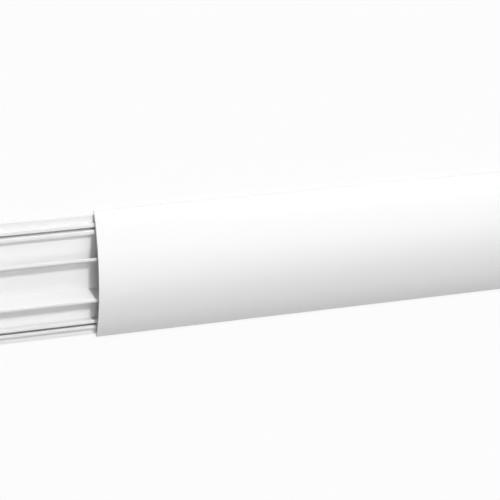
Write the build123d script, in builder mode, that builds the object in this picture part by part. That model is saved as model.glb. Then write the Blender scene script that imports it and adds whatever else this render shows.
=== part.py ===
from build123d import *
import os
from math import atan2, cos, degrees, radians, sqrt, tan

# Cord cover raceway in two white plastic extrusions: a flat base strip with ribs and grooves,
# and a shallow domed cover whose two legs snap into the grooves. The cover is slid back along
# the base, so that one end of the base lies bare.
# The length runs along X, the width along Y, and the back of the base lies flat on Z = 0.

# Stock
stock_length = 1000.0
exposed_length = 100.0

# Cover: a dome of even wall that turns down into an upright rim on each side
cover_width = 92.0
clear_height = 11.2
cover_wall = 1.7
rim_height = 0.8
rim_inner_radius = 1.3
rim_edge_radius = 0.25
floor_clearance = 0.3

# Legs under the cover, each with a barb on its foot
leg_thickness = 1.3
leg_clearance = 0.3
leg_root_radius = 0.6
barb_reach = 0.9
barb_clearance = 0.25
foot_clearance = 0.3

# Base strip: plate, outer flange, and the low lip and higher rail on either side of each groove,
# whose floor lies lower than the plate's top
base_plate = 1.4
rim_gap = 0.8
flange_width = 5.2
lip_thickness = 2.5
lip_height = 2.45
nose_height = 0.6
rail_thickness = 2.8
rail_height = 3.6
rail_root_radius = 0.4
groove_floor = 0.8

# Two ribs that lean outwards and divide the strip into three channels
rib_pitch = 30.4
rib_thickness = 1.8
rib_lean = 30.0
rib_gap = 1.5
rib_root_radius = 0.6

edge_radius = 0.3
top_radius = 0.6

# Line of the dome, shared by the cover and by what stands below it: one large arc that passes through
# the crown and runs smoothly into the small arc of each rim
half_width = cover_width / 2
inner_half = half_width - cover_wall
crown_z = base_plate + clear_height + cover_wall
rim_radius = rim_inner_radius + cover_wall
rim_centre = (half_width - rim_radius, rim_height)
crown_rise = crown_z - rim_height
dome_radius = (rim_centre[0] ** 2 + crown_rise**2 - rim_radius**2) / (2 * (crown_rise - rim_radius))
dome_centre = (0, crown_z - dome_radius)
rim_turn = degrees(atan2(rim_centre[1] - dome_centre[1], rim_centre[0]))
underside_radius = dome_radius - cover_wall


def arc_height(radius, y):
    """Height of an arc about the dome's centre at a distance y from the middle."""
    return sqrt(radius**2 - y**2) + dome_centre[1]


# Stations across one half of the base, from its edge to the middle
base_half = inner_half - rim_gap
lip_out = base_half - flange_width
lip_in = lip_out - lip_thickness
groove_width = leg_thickness + 2 * leg_clearance
rail_out = lip_in - groove_width
rail_in = rail_out - rail_thickness
rib_width = rib_thickness / cos(radians(rib_lean))
rib_tip_out = (rib_pitch + rib_width) / 2
rib_tip_in = (rib_pitch - rib_width) / 2

# Levels
lip_z = base_plate + lip_height
nose_z = lip_z - nose_height
rail_z = base_plate + rail_height
rib_z = arc_height(underside_radius, rib_tip_out) - rib_gap
rib_run = (rib_z - base_plate) * tan(radians(rib_lean))
foot_z = groove_floor + foot_clearance
barb_z = nose_z - barb_clearance

# Legs stand in the middle of the grooves, and run up into the wall of the dome
leg_in = rail_out + leg_clearance
leg_out = leg_in + leg_thickness
wall_middle = dome_radius - cover_wall / 2

# One half of the base's section, each corner with its radius
base_corners = [
    ((base_half, 0), edge_radius),
    ((base_half, base_plate), edge_radius),
    ((lip_out, base_plate), edge_radius),
    ((lip_out, lip_z), top_radius),
    ((lip_in, lip_z), edge_radius / 2),
    ((lip_in, nose_z), 0),
    ((lip_in + barb_reach, nose_z), 0),
    ((lip_in + barb_reach, groove_floor), 0),
    ((rail_out, groove_floor), 0),
    ((rail_out, rail_z), top_radius),
    ((rail_in, rail_z), top_radius),
    ((rail_in, base_plate), rail_root_radius),
    ((rib_tip_out - rib_run, base_plate), rib_root_radius),
    ((rib_tip_out, rib_z), edge_radius),
    ((rib_tip_in, rib_z), top_radius),
    ((rib_tip_in - rib_run, base_plate), rib_root_radius),
]

with BuildPart() as base_channel:
    with BuildSketch(Plane.YZ.offset(-stock_length / 2)):
        with BuildLine():
            outline = FilletPolyline(
                (0, 0),
                *[corner for corner, radius in base_corners],
                (0, base_plate),
                radius=[radius for corner, radius in base_corners],
            )
            Line(outline @ 1, outline @ 0)
        make_face()
        mirror(about=Plane.YZ)
    extrude(amount=stock_length)
base_channel.part.label = "base_channel"

with BuildPart() as snap_cover:
    with BuildSketch(Plane.YZ.offset(exposed_length - stock_length / 2)) as cover_section:
        with BuildLine():
            dome_top = CenterArc(dome_centre, dome_radius, rim_turn, 90 - rim_turn)
            dome_below = CenterArc(dome_centre, underside_radius, rim_turn, 90 - rim_turn)
            Line(dome_top @ 1, dome_below @ 1)
            rim_outside = CenterArc(rim_centre, rim_radius, 0, rim_turn)
            rim_inside = CenterArc(rim_centre, rim_inner_radius, 0, rim_turn)
            FilletPolyline(
                rim_inside @ 0,
                (inner_half, floor_clearance),
                (half_width, floor_clearance),
                rim_outside @ 0,
                radius=rim_edge_radius,
            )
        make_face()
        with BuildLine():
            Polyline(
                (leg_in, arc_height(wall_middle, leg_in)),
                (leg_in, foot_z),
                (leg_out, foot_z),
                (leg_out + barb_reach, barb_z),
                (leg_out, barb_z),
                (leg_out, arc_height(wall_middle, leg_out)),
                close=True,
            )
        make_face()
        leg_roots = [
            cover_section.vertices().sort_by_distance((y, arc_height(underside_radius, y)))[0]
            for y in (leg_in, leg_out)
        ]
        fillet(leg_roots, leg_root_radius)
        mirror(about=Plane.YZ)
    extrude(amount=stock_length)
snap_cover.part.label = "snap_cover"

os.makedirs("parts", exist_ok=True)
export_step(base_channel.part, "parts/base_channel.step")
export_step(snap_cover.part, "parts/snap_cover.step")
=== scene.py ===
import math

import bmesh
import bpy
from mathutils import Matrix, Vector


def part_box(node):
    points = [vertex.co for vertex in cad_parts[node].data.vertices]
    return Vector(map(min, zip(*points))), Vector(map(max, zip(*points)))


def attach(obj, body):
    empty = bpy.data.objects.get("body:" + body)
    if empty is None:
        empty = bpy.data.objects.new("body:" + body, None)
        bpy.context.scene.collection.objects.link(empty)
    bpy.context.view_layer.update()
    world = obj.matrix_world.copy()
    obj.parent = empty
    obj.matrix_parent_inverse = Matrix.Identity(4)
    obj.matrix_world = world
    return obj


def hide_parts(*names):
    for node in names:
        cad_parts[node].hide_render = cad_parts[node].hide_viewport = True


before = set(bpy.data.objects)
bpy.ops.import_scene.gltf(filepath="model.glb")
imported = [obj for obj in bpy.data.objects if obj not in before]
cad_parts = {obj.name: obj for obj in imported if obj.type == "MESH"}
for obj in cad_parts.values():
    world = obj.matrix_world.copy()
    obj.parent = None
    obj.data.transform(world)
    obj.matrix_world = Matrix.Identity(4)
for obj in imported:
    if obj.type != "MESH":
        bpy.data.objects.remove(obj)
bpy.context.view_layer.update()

# The two extrusions are modelled as half sections in the YZ plane, mirrored, and drawn out along X.
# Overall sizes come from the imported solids; the details of the section are given here, in metres.
mm = 0.001
base_low, base_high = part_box("base_channel")
cover_low, cover_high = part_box("snap_cover")
end_chamfer = 0.12 * mm

# Base strip, from its edge to the middle
base_half = base_high.y
plate = 1.4 * mm
groove_floor = 0.8 * mm
edge_round = 0.3 * mm
top_round = 0.6 * mm
flange_width = 5.2 * mm
lip_thickness = 2.5 * mm
lip_height = 2.45 * mm
nose_height = 0.6 * mm
nose_reach = 0.9 * mm
groove_width = 1.9 * mm
rail_thickness = 2.8 * mm
rail_height = 3.6 * mm
rail_root = 0.4 * mm
rib_pitch = 30.4 * mm
rib_thickness = 1.8 * mm
rib_lean = math.radians(30)
rib_root = 0.6 * mm

lip_out = base_half - flange_width
lip_in = lip_out - lip_thickness
lip_under = lip_in + nose_reach
rail_out = lip_in - groove_width
rail_in = rail_out - rail_thickness
rib_width = rib_thickness / math.cos(rib_lean)
rib_tip_in = (rib_pitch - rib_width) / 2
rib_tip_out = (rib_pitch + rib_width) / 2
rib_z = base_high.z
rib_run = (rib_z - plate) * math.tan(rib_lean)
rib_foot_in = rib_tip_in - rib_run
rib_foot_out = rib_tip_out - rib_run
lip_z = plate + lip_height
nose_z = lip_z - nose_height
rail_z = plate + rail_height

# Domed cover: one large arc that runs smoothly into the small arc of each rim
cover_half = cover_high.y
crown_z = cover_high.z
rim_foot = cover_low.z
wall = 1.7 * mm
rim_radius = 3.0 * mm
rim_foot_round = 0.25 * mm
rim_y = cover_half - rim_radius
rim_z = 0.8 * mm
crown_rise = crown_z - rim_z
dome_radius = (rim_y**2 + crown_rise**2 - rim_radius**2) / (2 * (crown_rise - rim_radius))
dome_z = crown_z - dome_radius
rim_turn = math.atan2(rim_z - dome_z, rim_y)
under_radius = dome_radius - wall

# Legs under the cover, which stand in the grooves of the base
leg_thickness = 1.3 * mm
leg_clearance = 0.3 * mm
leg_root = 0.6 * mm
foot_clearance = 0.3 * mm
barb_reach = 0.9 * mm
barb_clearance = 0.25 * mm
leg_in = rail_out + leg_clearance
leg_out = leg_in + leg_thickness
foot_z = groove_floor + foot_clearance
barb_z = nose_z - barb_clearance

# Steps in the rounds, and in the sweep of the cover
edge_steps = 5
top_steps = 7
dome_steps = 48
rim_steps = 14

# Points closer than the weld become one, and a point within the slack of a line counts as on it
weld = 0.001 * mm
slack = 0.01 * mm
arc_slack = 0.03 * mm
straight = math.radians(0.1)
crease = math.radians(32)
end_facing = 0.9


def near(a, b, within=slack):
    return abs(a - b) < within


def between(value, low, high):
    return low - slack < value < high + slack


def new_sheet(name, x, y0, y1, z0, z1):
    """A flat rectangle across the length at x, left in edit mode as the start of a section."""
    bpy.ops.object.select_all(action="DESELECT")
    bpy.ops.mesh.primitive_plane_add(
        size=1, location=(x, (y0 + y1) / 2, (z0 + z1) / 2), rotation=(0, math.pi / 2, 0)
    )
    sheet = bpy.context.object
    sheet.name = name
    sheet.data.name = name
    sheet.scale = (z1 - z0, y1 - y0, 1)
    bpy.ops.object.transform_apply(location=True, rotation=True, scale=True)
    bpy.ops.object.mode_set(mode="EDIT")
    return sheet


def pick(sheet, kind, test):
    """Select the vertices, edges or faces whose corners all pass a test, and nothing else."""
    bpy.ops.mesh.select_mode(type=kind)
    bpy.ops.mesh.select_all(action="DESELECT")
    net = bmesh.from_edit_mesh(sheet.data)
    if kind == "VERT":
        chosen = [v for v in net.verts if test(v.co.y, v.co.z)]
    elif kind == "EDGE":
        chosen = [e for e in net.edges if all(test(v.co.y, v.co.z) for v in e.verts)]
    else:
        chosen = [f for f in net.faces if all(test(v.co.y, v.co.z) for v in f.verts)]
    for item in chosen:
        item.select_set(True)
    net.select_flush_mode()
    bmesh.update_edit_mesh(sheet.data)
    return len(chosen)


def draw_out(dx=0.0, dy=0.0, dz=0.0):
    bpy.ops.mesh.extrude_region_move(TRANSFORM_OT_translate={"value": (dx, dy, dz)})


def cut_at(y=None, z=None):
    """Divide what is selected along a line across the section."""
    if y is not None:
        bpy.ops.mesh.bisect(plane_co=(0, y, 0), plane_no=(0, 1, 0), threshold=weld)
    else:
        bpy.ops.mesh.bisect(plane_co=(0, 0, z), plane_no=(0, 0, 1), threshold=weld)


def join_faces():
    """Make the section one face, with a corner only where its outline turns."""
    bpy.ops.mesh.select_mode(type="FACE")
    bpy.ops.mesh.select_all(action="SELECT")
    bpy.ops.mesh.remove_doubles(threshold=weld)
    bpy.ops.mesh.dissolve_faces()
    bpy.ops.mesh.select_all(action="SELECT")
    bpy.ops.mesh.dissolve_limited(angle_limit=straight)


def round_corner(sheet, y, z, radius, segments=edge_steps):
    """Round one corner of the section's outline."""
    count = pick(sheet, "VERT", lambda py, pz: near(py, y) and near(pz, z))
    if count != 1:
        raise ValueError(f"{sheet.name}: {count} corners at {y / mm:.3f}, {z / mm:.3f}")
    net = bmesh.from_edit_mesh(sheet.data)
    corner = [v for v in net.verts if v.select][0]
    one, two = [(e.other_vert(corner).co - corner.co) for e in corner.link_edges]
    reach = radius / math.tan(one.angle(two) / 2)
    bpy.ops.mesh.bevel(
        offset=reach, offset_type="OFFSET", segments=segments, affect="VERTICES", clamp_overlap=True
    )


def finish_stock(sheet, length):
    """Mirror the half section, draw it out along X and chamfer its sawn ends."""
    bpy.ops.object.mode_set(mode="OBJECT")
    halves = sheet.modifiers.new("halves", "MIRROR")
    halves.use_axis = (False, True, False)
    halves.use_clip = True
    halves.merge_threshold = weld
    bpy.ops.object.modifier_apply(modifier="halves")
    bpy.ops.object.mode_set(mode="EDIT")
    join_faces()
    bpy.ops.mesh.select_all(action="SELECT")
    draw_out(dx=length - 2 * end_chamfer)
    bpy.ops.mesh.select_all(action="SELECT")
    bpy.ops.mesh.normals_make_consistent(inside=False)
    bpy.ops.mesh.select_mode(type="FACE")
    bpy.ops.mesh.select_all(action="DESELECT")
    net = bmesh.from_edit_mesh(sheet.data)
    for face in net.faces:
        face.select_set(abs(face.normal.x) > end_facing)
    bmesh.update_edit_mesh(sheet.data)
    bpy.ops.mesh.inset(thickness=end_chamfer, depth=end_chamfer, use_even_offset=True)
    bpy.ops.object.mode_set(mode="OBJECT")


def soft_normals(sheet):
    """Smooth shading on the rounds, with the flats kept flat."""
    bpy.ops.object.select_all(action="DESELECT")
    sheet.select_set(True)
    bpy.context.view_layer.objects.active = sheet
    bpy.ops.object.shade_smooth_by_angle(angle=crease)
    level = sheet.modifiers.new("level", "WEIGHTED_NORMAL")
    level.mode = "FACE_AREA"
    level.keep_sharp = True
    bpy.ops.object.modifier_apply(modifier="level")


def model_base_strip():
    """The plate, with a groove cut into it, and a lip, a rail and a rib drawn up from it."""
    x0 = base_low.x + end_chamfer
    strip = new_sheet("base_strip", x0, 0, base_half, 0, plate)
    for y in (rib_foot_in, rib_foot_out, rail_in, rail_out, lip_under, lip_out):
        bpy.ops.mesh.select_all(action="SELECT")
        cut_at(y=y)
    # Groove: the plate is cut down between rail and lip
    pick(strip, "FACE", lambda y, z: between(y, rail_out, lip_under))
    cut_at(z=groove_floor)
    pick(strip, "FACE", lambda y, z: between(y, rail_out, lip_under) and z > groove_floor - slack)
    bpy.ops.mesh.delete(type="FACE")
    # Rail, lip and the lip's nose
    pick(strip, "EDGE", lambda y, z: near(z, plate) and between(y, rail_in, rail_out))
    draw_out(dz=rail_height)
    pick(strip, "EDGE", lambda y, z: near(z, plate) and between(y, lip_under, lip_out))
    draw_out(dz=nose_z - plate)
    draw_out(dz=nose_height)
    pick(strip, "EDGE", lambda y, z: near(y, lip_under) and z > nose_z - slack)
    draw_out(dy=-nose_reach)
    # Rib, leaning outwards
    pick(strip, "EDGE", lambda y, z: near(z, plate) and between(y, rib_foot_in, rib_foot_out))
    draw_out(dy=rib_run, dz=rib_z - plate)
    join_faces()
    # Rounds
    for y, z in ((base_half, 0), (base_half, plate), (lip_out, plate)):
        round_corner(strip, y, z, edge_round)
    round_corner(strip, lip_out, lip_z, top_round, top_steps)
    round_corner(strip, lip_in, lip_z, edge_round / 2)
    for y in (rail_out, rail_in):
        round_corner(strip, y, rail_z, top_round, top_steps)
    round_corner(strip, rail_in, plate, rail_root)
    for y in (rib_foot_out, rib_foot_in):
        round_corner(strip, y, plate, rib_root, top_steps)
    round_corner(strip, rib_tip_out, rib_z, edge_round, top_steps)
    round_corner(strip, rib_tip_in, rib_z, top_round, top_steps)
    finish_stock(strip, base_high.x - base_low.x)
    return strip


def model_domed_cover():
    """The wall of the dome, swept from the crown to the rim, and a barbed leg drawn down from it."""
    x0 = cover_low.x + end_chamfer
    dome = new_sheet("domed_cover", x0, 0, wall, crown_z - wall, crown_z)
    # Only the upright edge at the crown is kept, and swept down to the rim
    pick(dome, "VERT", lambda y, z: y > wall / 2)
    bpy.ops.mesh.delete(type="VERT")
    bpy.ops.mesh.select_mode(type="EDGE")
    bpy.ops.mesh.select_all(action="SELECT")
    for steps, angle, centre in (
        (dome_steps, math.pi / 2 - rim_turn, (x0, 0, dome_z)),
        (rim_steps, rim_turn, (x0, rim_y, rim_z)),
    ):
        bpy.ops.mesh.spin(steps=steps, angle=angle, center=centre, axis=(1, 0, 0))
    draw_out(dz=rim_foot - rim_z)
    bpy.ops.mesh.select_all(action="SELECT")
    bpy.ops.mesh.remove_doubles(threshold=weld)

    def under(y, z):
        return near(math.hypot(y, z - dome_z), under_radius, arc_slack)

    # Leg, drawn out of the underside and levelled at its foot
    for y in (leg_in, leg_out):
        bpy.ops.mesh.select_all(action="SELECT")
        cut_at(y=y)
    pick(dome, "EDGE", lambda y, z: under(y, z) and between(y, leg_in, leg_out))
    draw_out(dz=-leg_thickness)
    bpy.ops.transform.resize(value=(1, 1, 0), center_override=(x0, 0, foot_z))
    # Barb, whose underside slopes up from the foot
    pick(dome, "FACE", lambda y, z: between(y, leg_in, leg_out))
    cut_at(z=barb_z)
    pick(dome, "EDGE", lambda y, z: near(y, leg_out) and z < barb_z + slack)
    draw_out(dy=barb_reach)
    pick(dome, "VERT", lambda y, z: near(y, leg_out + barb_reach) and near(z, foot_z))
    bpy.ops.transform.translate(value=(0, -barb_reach, 0))
    join_faces()
    # Rounds
    for y in (leg_in, leg_out):
        round_corner(dome, y, math.sqrt(under_radius**2 - y**2) + dome_z, leg_root)
    for y in (cover_half - wall, cover_half):
        round_corner(dome, y, rim_foot, rim_foot_round)
    finish_stock(dome, cover_high.x - cover_low.x)
    return dome


base_strip = model_base_strip()
domed_cover = model_domed_cover()
for piece in (base_strip, domed_cover):
    soft_normals(piece)

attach(base_strip, "base")
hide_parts("base_channel")
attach(domed_cover, "cover")
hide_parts("snap_cover")


def add_node(tree, kind, **settings):
    node = tree.nodes.new(kind)
    for name, value in settings.items():
        setattr(node, name, value)
    return node


def feed(tree, source, target):
    """Join an output to an input, or set the input to a plain value."""
    if hasattr(source, "is_output"):
        tree.links.new(source, target)
    else:
        target.default_value = source


def reckon(tree, operation, *terms):
    node = add_node(tree, "ShaderNodeMath", operation=operation)
    for source, target in zip(terms, node.inputs):
        feed(tree, source, target)
    return node.outputs[0]


def blend(tree, one, two, share):
    """A share of one value, and the rest of another."""
    return reckon(tree, "MULTIPLY_ADD", one, share, reckon(tree, "MULTIPLY", two, 1 - share))


def soft_step(tree, value, start, end, out_start=0.0, out_end=1.0):
    """Goes smoothly from out_start to out_end as the value goes from start to end."""
    node = add_node(tree, "ShaderNodeMapRange", interpolation_type="SMOOTHSTEP")
    feed(tree, value, node.inputs["Value"])
    limits = {"From Min": start, "From Max": end, "To Min": out_start, "To Max": out_end}
    for name, limit in limits.items():
        feed(tree, limit, node.inputs[name])
    return node.outputs[0]


def soft_fall(tree, value, start, end):
    """Goes smoothly from 1 to 0 as the value goes from start to end."""
    return soft_step(tree, value, start, end, out_start=1.0, out_end=0.0)


def stretched(tree, place, scale, turn=(0, 0, 0)):
    node = add_node(tree, "ShaderNodeMapping")
    node.inputs["Scale"].default_value = scale
    node.inputs["Rotation"].default_value = turn
    feed(tree, place, node.inputs["Vector"])
    return node.outputs[0]


def grain(tree, place, scale, detail):
    node = add_node(tree, "ShaderNodeTexNoise")
    node.inputs["Detail"].default_value = detail
    feed(tree, scale, node.inputs["Scale"])
    feed(tree, place, node.inputs["Vector"])
    return node.outputs["Fac"]


def grey_mix(tree, share, one, two):
    """A colour between two greys, or between a colour and a grey."""
    node = add_node(tree, "ShaderNodeMix", data_type="RGBA")
    feed(tree, share, node.inputs[0])
    for source, target in ((one, node.inputs[6]), (two, node.inputs[7])):
        feed(tree, source if hasattr(source, "is_output") else (source, source, source, 1), target)
    return node.outputs[2]


def new_group(name, inputs, outputs):
    """A shader node group with its sockets, and the ends of its inside."""
    group = bpy.data.node_groups.new(name, "ShaderNodeTree")
    for label, kind in inputs.items():
        group.interface.new_socket(label, in_out="INPUT", socket_type=kind)
    for label in outputs:
        group.interface.new_socket(label, in_out="OUTPUT", socket_type="NodeSocketFloat")
    given = group.nodes.new("NodeGroupInput").outputs
    result = group.nodes.new("NodeGroupOutput").inputs
    return group, given, result


def make_die_lines():
    """Streaks that the die draws along the stock: broad in the tone, finer in the surface."""
    group, given, result = new_group(
        "die lines",
        {"Place": "NodeSocketVector", "Broad": "NodeSocketFloat", "Fine": "NodeSocketFloat"},
        ("Tone", "Height"),
    )
    along = stretched(group, given["Place"], scale=(0.004, 1, 1))
    broad = grain(group, along, given["Broad"], detail=3.0)
    fine = grain(group, along, given["Fine"], detail=2.0)
    feed(group, blend(group, broad, fine, share=0.7), result["Tone"])
    feed(group, blend(group, fine, broad, share=0.6), result["Height"])
    return group


def make_clouding():
    """Faint clouds in the white, and patches that handling has rubbed duller."""
    group, given, result = new_group(
        "clouding", {"Place": "NodeSocketVector", "Size": "NodeSocketFloat"}, ("Cloud", "Rub")
    )
    drifts = stretched(group, given["Place"], scale=(0.35, 1, 1))
    wiped = stretched(group, given["Place"], scale=(0.8, 2.6, 2.6), turn=(0.2, 0.3, 0.1))
    cloud = grain(group, drifts, given["Size"], detail=3.0)
    rub = grain(group, wiped, given["Size"], detail=6.0)
    feed(group, soft_step(group, cloud, start=0.3, end=0.7), result["Cloud"])
    feed(group, soft_step(group, rub, start=0.48, end=0.7), result["Rub"])
    return group


die_lines = make_die_lines()
clouding = make_clouding()


def put_group(tree, group, place, **values):
    node = add_node(tree, "ShaderNodeGroup", node_tree=group)
    feed(tree, place, node.inputs["Place"])
    for name, value in values.items():
        node.inputs[name].default_value = value
    return node.outputs


def new_finish(name):
    finish = bpy.data.materials.new(name)
    finish.use_nodes = True
    tree = finish.node_tree
    place = add_node(tree, "ShaderNodeTexCoord").outputs["Object"]
    return finish, tree, place, tree.nodes["Principled BSDF"].inputs


def raise_surface(tree, shader, height, depth, strength):
    bump = add_node(tree, "ShaderNodeBump")
    bump.inputs["Strength"].default_value = strength
    bump.inputs["Distance"].default_value = depth
    feed(tree, height, bump.inputs["Height"])
    feed(tree, bump.outputs["Normal"], shader["Normal"])


def painted_groove_shade(tree, place):
    """Painted shade: how strongly the colour is darkened in the snap grooves, and faintly along the
    inner corners, where shade falls.
    """
    blur = 0.1 * mm
    climb = 0.3 * mm
    corner_width = 3.0 * mm
    corner_height = 1.6 * mm
    corner_shade = 0.12
    faintest = 0.75
    axes = add_node(tree, "ShaderNodeSeparateXYZ")
    feed(tree, place, axes.inputs[0])
    across = reckon(tree, "ABSOLUTE", axes.outputs["Y"])
    up = axes.outputs["Z"]
    past_rail = soft_step(tree, across, rail_out - blur, rail_out + blur)
    before_wall = soft_fall(tree, across, lip_under - blur, lip_under + 2 * blur)
    below_nose = soft_fall(tree, up, plate, nose_z + climb)
    beside_lip = reckon(tree, "MULTIPLY", past_rail, before_wall)
    in_groove = reckon(tree, "MULTIPLY", beside_lip, below_nose)
    low = soft_step(tree, up, plate + climb, plate + corner_height, corner_shade, 0.0)
    before_rail = soft_step(tree, across, rail_in - corner_width, rail_in)
    up_to_rail = soft_fall(tree, across, rail_in, rail_in + climb)
    by_rail = reckon(tree, "MULTIPLY", before_rail, up_to_rail)
    from_rib = reckon(tree, "ABSOLUTE", reckon(tree, "SUBTRACT", across, rib_foot_in))
    by_rib = soft_fall(tree, from_rib, 0.0, corner_width)
    in_corner = reckon(tree, "MULTIPLY", reckon(tree, "MAXIMUM", by_rail, by_rib), low)
    shade_share = reckon(tree, "MAXIMUM", in_groove, in_corner)
    # The painted shade is made patchy at random
    patches = grain(tree, stretched(tree, place, scale=(30, 260, 260)), scale=1.0, detail=4.0)
    patchy = soft_step(tree, patches, start=0.25, end=0.75, out_start=faintest, out_end=1.0)
    return reckon(tree, "MULTIPLY", shade_share, patchy)


def drawn_white(name, tones, streaks, relief, cloud_size, roughness, rubbed, shine, painted_shade=None):
    """White plastic as it leaves the die: streaked along its length, faintly clouded, satin, with
    painted shade in its grooves where that is given.
    """
    # Grey painted into the grooves and inner corners as shade, and the roughness added there
    painted_shade_grey = 0.64
    shade_dulls = 0.3
    finish, tree, place, shader = new_finish(name)
    broad, fine = streaks
    lines = put_group(tree, die_lines, place, Broad=broad, Fine=fine)
    clouds = put_group(tree, clouding, place, Size=cloud_size)
    mottle = blend(tree, lines["Tone"], clouds["Cloud"], share=0.55)
    tone = grey_mix(tree, soft_step(tree, mottle, start=0.2, end=0.8), *tones)
    drawn = soft_step(tree, lines["Tone"], 0.3, 0.7, *roughness)
    dull = reckon(tree, "MULTIPLY_ADD", clouds["Rub"], rubbed, drawn)
    # Painted shade: the grooves and inner corners are greyed where shade falls, and their roughness
    # is raised
    if painted_shade:
        shade_share = painted_shade(tree, place)
        tone = grey_mix(tree, shade_share, tone, painted_shade_grey)
        dull = reckon(tree, "MULTIPLY_ADD", shade_share, shade_dulls, dull)
    feed(tree, tone, shader["Base Color"])
    feed(tree, dull, shader["Roughness"])
    shader["Specular IOR Level"].default_value = shine
    raise_surface(tree, shader, lines["Height"], depth=0.02 * mm, strength=relief)
    return finish


def sawn_white():
    """Bare ends of the stock: matt, with the slanting marks of the saw."""
    slant = math.radians(24)
    finish, tree, place, shader = new_finish("sawn white")
    saw = add_node(tree, "ShaderNodeTexWave", wave_type="BANDS", bands_direction="Y")
    saw.inputs["Scale"].default_value = 420.0
    saw.inputs["Distortion"].default_value = 2.5
    saw.inputs["Detail"].default_value = 3.0
    saw.inputs["Detail Scale"].default_value = 0.6
    feed(tree, stretched(tree, place, (1, 1, 1), turn=(slant, 0, 0)), saw.inputs["Vector"])
    crumbs = grain(tree, place, scale=1800.0, detail=3.0)
    marks = blend(tree, saw.outputs["Fac"], crumbs, share=0.6)
    dull = soft_step(tree, marks, start=0.1, end=0.9, out_start=0.72, out_end=0.5)
    feed(tree, grey_mix(tree, marks, one=0.78, two=0.9), shader["Base Color"])
    feed(tree, dull, shader["Roughness"])
    raise_surface(tree, shader, marks, depth=0.05 * mm, strength=0.6)
    return finish


def give_finish(piece, along, ends):
    """One finish along the stock, and another on the two sawn ends."""
    piece.data.materials.append(along)
    piece.data.materials.append(ends)
    for face in piece.data.polygons:
        face.material_index = 1 if abs(face.normal.x) > end_facing else 0


# The cover comes from a polished die, and the base is left a little duller
base_white = drawn_white(
    "base white",
    tones=(0.81, 0.85),
    streaks=(160.0, 1100.0),
    relief=0.35,
    cloud_size=14.0,
    roughness=(0.35, 0.43),
    rubbed=0.07,
    shine=0.25,
    # The base gets painted shade in its grooves and inner corners
    painted_shade=painted_groove_shade,
)
cover_white = drawn_white(
    "cover white",
    tones=(0.857, 0.865),
    streaks=(110.0, 800.0),
    relief=0.06,
    cloud_size=9.0,
    roughness=(0.275, 0.285),
    rubbed=0.015,
    shine=0.5,
)
sawn_ends = sawn_white()
give_finish(base_strip, base_white, sawn_ends)
give_finish(domed_cover, cover_white, sawn_ends)


def seen_white(tree):
    """1 for rays of sight, straight from the camera, mirrored or let through, and 0 for others."""
    ray = add_node(tree, "ShaderNodeLightPath").outputs
    looked_at = reckon(tree, "MAXIMUM", ray["Is Camera Ray"], ray["Is Glossy Ray"])
    return reckon(tree, "MAXIMUM", looked_at, ray["Is Transmission Ray"])


# Floor: pale to the light, nearly white to the eye, with the object's shadow left on it
floor_size = 8
floor_drop = 0.2 * mm
floor_grey = 0.9
floor_glow = 0.86
bpy.ops.object.select_all(action="DESELECT")
bpy.ops.mesh.primitive_plane_add(size=floor_size, location=(0, 0, -floor_drop))
floor = bpy.context.object
floor.name = "studio_floor"
floor_finish = bpy.data.materials.new("studio floor")
floor_finish.use_nodes = True
tree = floor_finish.node_tree
tree.nodes.clear()
matt = add_node(tree, "ShaderNodeBsdfDiffuse")
matt.inputs["Color"].default_value = (floor_grey, floor_grey, floor_grey, 1)
glow = add_node(tree, "ShaderNodeEmission")
glow.inputs["Color"].default_value = (1, 1, 1, 1)
glow.inputs["Strength"].default_value = 1.0
mix = add_node(tree, "ShaderNodeMixShader")
feed(tree, reckon(tree, "MULTIPLY", seen_white(tree), floor_glow), mix.inputs["Fac"])
feed(tree, matt.outputs[0], mix.inputs[1])
feed(tree, glow.outputs[0], mix.inputs[2])
feed(tree, mix.outputs[0], add_node(tree, "ShaderNodeOutputMaterial").inputs["Surface"])
floor.data.materials.append(floor_finish)

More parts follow.
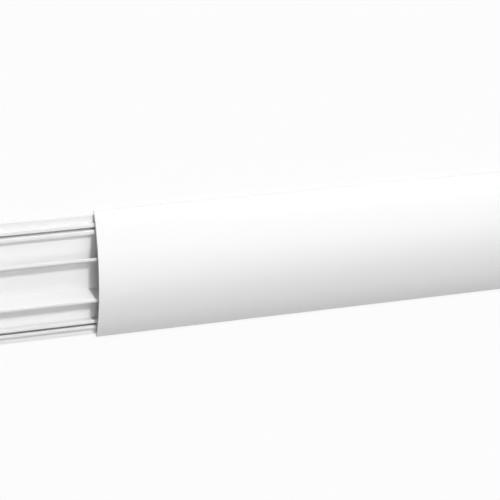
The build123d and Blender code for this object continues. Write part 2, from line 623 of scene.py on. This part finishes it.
# Camera, fitted to the photograph's lines, and placed from the cover's sawn end
before_cut, aside, above = 0.203517, 0.445196, 0.957222
right = Vector((0.953372, 0.022305, 0.300973))
up = Vector((0.100956, 0.916243, -0.387694))
toward = Vector((-0.284412, 0.400001, 0.871268))
view = bpy.data.cameras.new("camera")
view.sensor_width = 36.0
view.lens = 115.2
view.clip_end = 100.0
camera = bpy.data.objects.new("camera", view)
bpy.context.scene.collection.objects.link(camera)
stand = Matrix((right, up, toward)).transposed().to_4x4()
stand.translation = Vector((cover_low.x - before_cut, aside, above))
camera.matrix_world = stand
bpy.context.scene.camera = camera


def soft_lamp(name, direction, spread, level):
    """A far soft lamp that lights the whole length evenly.

    The spread is in degrees, and the level is the light it gives a white card that faces it.
    """
    lamp = bpy.data.lights.new(name, "SUN")
    lamp.angle = math.radians(spread)
    lamp.energy = level * math.pi
    holder = bpy.data.objects.new(name, lamp)
    bpy.context.scene.collection.objects.link(holder)
    holder.rotation_euler = Vector(direction).to_track_quat("Z", "Y").to_euler()


soft_lamp("key lamp", direction=(0.35, 1.07, 1.0), spread=8, level=0.565)
soft_lamp("side lamp", direction=(0.7, 0.2, 1.0), spread=50, level=0.25)
soft_lamp("low lamp", direction=(0.0, 1.0, 0.2), spread=30, level=0.215)
soft_lamp("top lamp", direction=(0.0, -0.27, 1.0), spread=50, level=0.28)


def room_white(tree):
    """White where the room is looked at; as mirrored, it fades low down, but not on the key side."""
    way = add_node(tree, "ShaderNodeSeparateXYZ")
    feed(tree, add_node(tree, "ShaderNodeTexCoord").outputs["Generated"], way.inputs[0])
    key_side = reckon(tree, "MAXIMUM", way.outputs["Y"], 0.0)
    lit = soft_step(tree, reckon(tree, "ADD", way.outputs["Z"], key_side), start=0.2, end=0.55)
    ray = add_node(tree, "ShaderNodeLightPath").outputs
    mirrored = reckon(tree, "MULTIPLY", ray["Is Glossy Ray"], lit)
    looked_at = reckon(tree, "MAXIMUM", ray["Is Camera Ray"], ray["Is Transmission Ray"])
    return reckon(tree, "MAXIMUM", looked_at, mirrored)


# Room: white to the eye, and nearly dark as a source of light. Its dark low part, mirrored in the
# plastic, draws the edge of the white cover.
room_light = 0.03
room = bpy.data.worlds.new("room")
bpy.context.scene.world = room
room.use_nodes = True
walls = room.node_tree
backdrop = walls.nodes["Background"].inputs
feed(walls, (1, 1, 1, 1), backdrop["Color"])
feed(walls, reckon(walls, "MAXIMUM", room_white(walls), room_light), backdrop["Strength"])

bpy.context.scene.view_settings.view_transform = "Standard"
